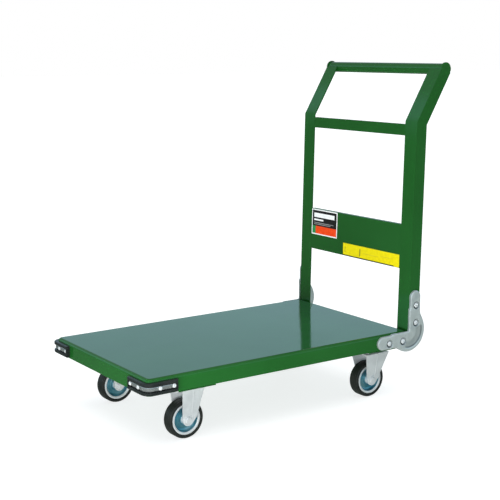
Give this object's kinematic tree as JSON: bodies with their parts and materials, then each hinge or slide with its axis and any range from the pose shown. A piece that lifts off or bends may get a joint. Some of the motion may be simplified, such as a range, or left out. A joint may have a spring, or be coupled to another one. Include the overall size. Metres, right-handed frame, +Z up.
{
  "type": "fixed-handle platform truck",
  "caption": "Flat-deck platform truck with a pressed steel deck, corner bumpers, fixed front and swivel rear casters, and a panelled angle-steel push handle.",
  "frame": {"origin": "on the floor, under the middle of the truck's outline", "axes": "+Z up, +X from the bumper end towards the handle end, +Y across the deck"},
  "size_m": [0.885, 0.47, 0.8344],
  "materials": {
    "enamel": "gloss baked enamel",
    "rubber": "satin moulded rubber",
    "zinc_plate": "bright zinc plate on pressed steel",
    "bright_zinc": "bright zinc plate",
    "blue_zinc": "blue-passivated zinc plate",
    "ball_steel": "polished steel",
    "tyre": "solid rubber tread",
    "label_dark": "printed film",
    "label_yellow": "printed film"
  },
  "bodies": {
    "truck": {"deck_panel": "enamel", "deck_rail_left": "enamel", "deck_rail_right": "enamel", "caster_channel_front": "enamel", "caster_channel_rear": "enamel", "bumper_left": "rubber", "bumper_right": "rubber", "bumper_strip_left": "bright_zinc", "bumper_strip_right": "bright_zinc", "bumper_screws": "bright_zinc", "corner_bracket_left": "zinc_plate", "corner_bracket_right": "zinc_plate", "bracket_deck_screws": "bright_zinc", "bracket_post_screws": "bright_zinc", "post_left": "enamel", "post_right": "enamel", "grip_tube": "enamel", "mid_rail": "enamel", "lower_panel": "enamel", "label_id": "label_dark", "label_load": "label_yellow", "front_fork_left": "zinc_plate", "front_fork_right": "zinc_plate", "front_axle_left": "bright_zinc", "front_axle_right": "bright_zinc", "rear_plate_left": "zinc_plate", "rear_plate_right": "zinc_plate", "kingpin_left": "bright_zinc", "kingpin_right": "bright_zinc", "caster_bolts": "bright_zinc"},
    "swivel_left": {"rear_fork_left": "zinc_plate", "rear_balls_left": "ball_steel", "rear_axle_left": "bright_zinc"},
    "swivel_right": {"rear_fork_right": "zinc_plate", "rear_balls_right": "ball_steel", "rear_axle_right": "bright_zinc"},
    "wheel_front_left": {"tyre_front_left": "tyre", "rim_front_left": "blue_zinc", "hub_front_left": "bright_zinc"},
    "wheel_front_right": {"tyre_front_right": "tyre", "rim_front_right": "blue_zinc", "hub_front_right": "bright_zinc"},
    "wheel_rear_left": {"tyre_rear_left": "tyre", "rim_rear_left": "blue_zinc", "hub_rear_left": "bright_zinc"},
    "wheel_rear_right": {"tyre_rear_right": "tyre", "rim_rear_right": "blue_zinc", "hub_rear_right": "bright_zinc"}
  },
  "joints": [
    {"name": "swivel_left", "type": "hinge", "parent": "truck", "child": "swivel_left", "pos_m": [0.26147, -0.163, 0.045], "axis": [0, 0, 1], "continuous": true},
    {"name": "swivel_right", "type": "hinge", "parent": "truck", "child": "swivel_right", "pos_m": [0.26147, 0.163, 0.045], "axis": [0, 0, 1], "continuous": true},
    {"name": "wheel_spin_front_left", "type": "hinge", "parent": "truck", "child": "wheel_front_left", "pos_m": [-0.30553, -0.163, 0.045], "axis": [0, 1, 0], "continuous": true},
    {"name": "wheel_spin_front_right", "type": "hinge", "parent": "truck", "child": "wheel_front_right", "pos_m": [-0.30553, 0.163, 0.045], "axis": [0, 1, 0], "continuous": true},
    {"name": "wheel_spin_rear_left", "type": "hinge", "parent": "swivel_left", "child": "wheel_rear_left", "pos_m": [0.23747, -0.163, 0.045], "axis": [0, 1, 0], "continuous": true},
    {"name": "wheel_spin_rear_right", "type": "hinge", "parent": "swivel_right", "child": "wheel_rear_right", "pos_m": [0.23747, 0.163, 0.045], "axis": [0, 1, 0], "continuous": true}
  ]
}
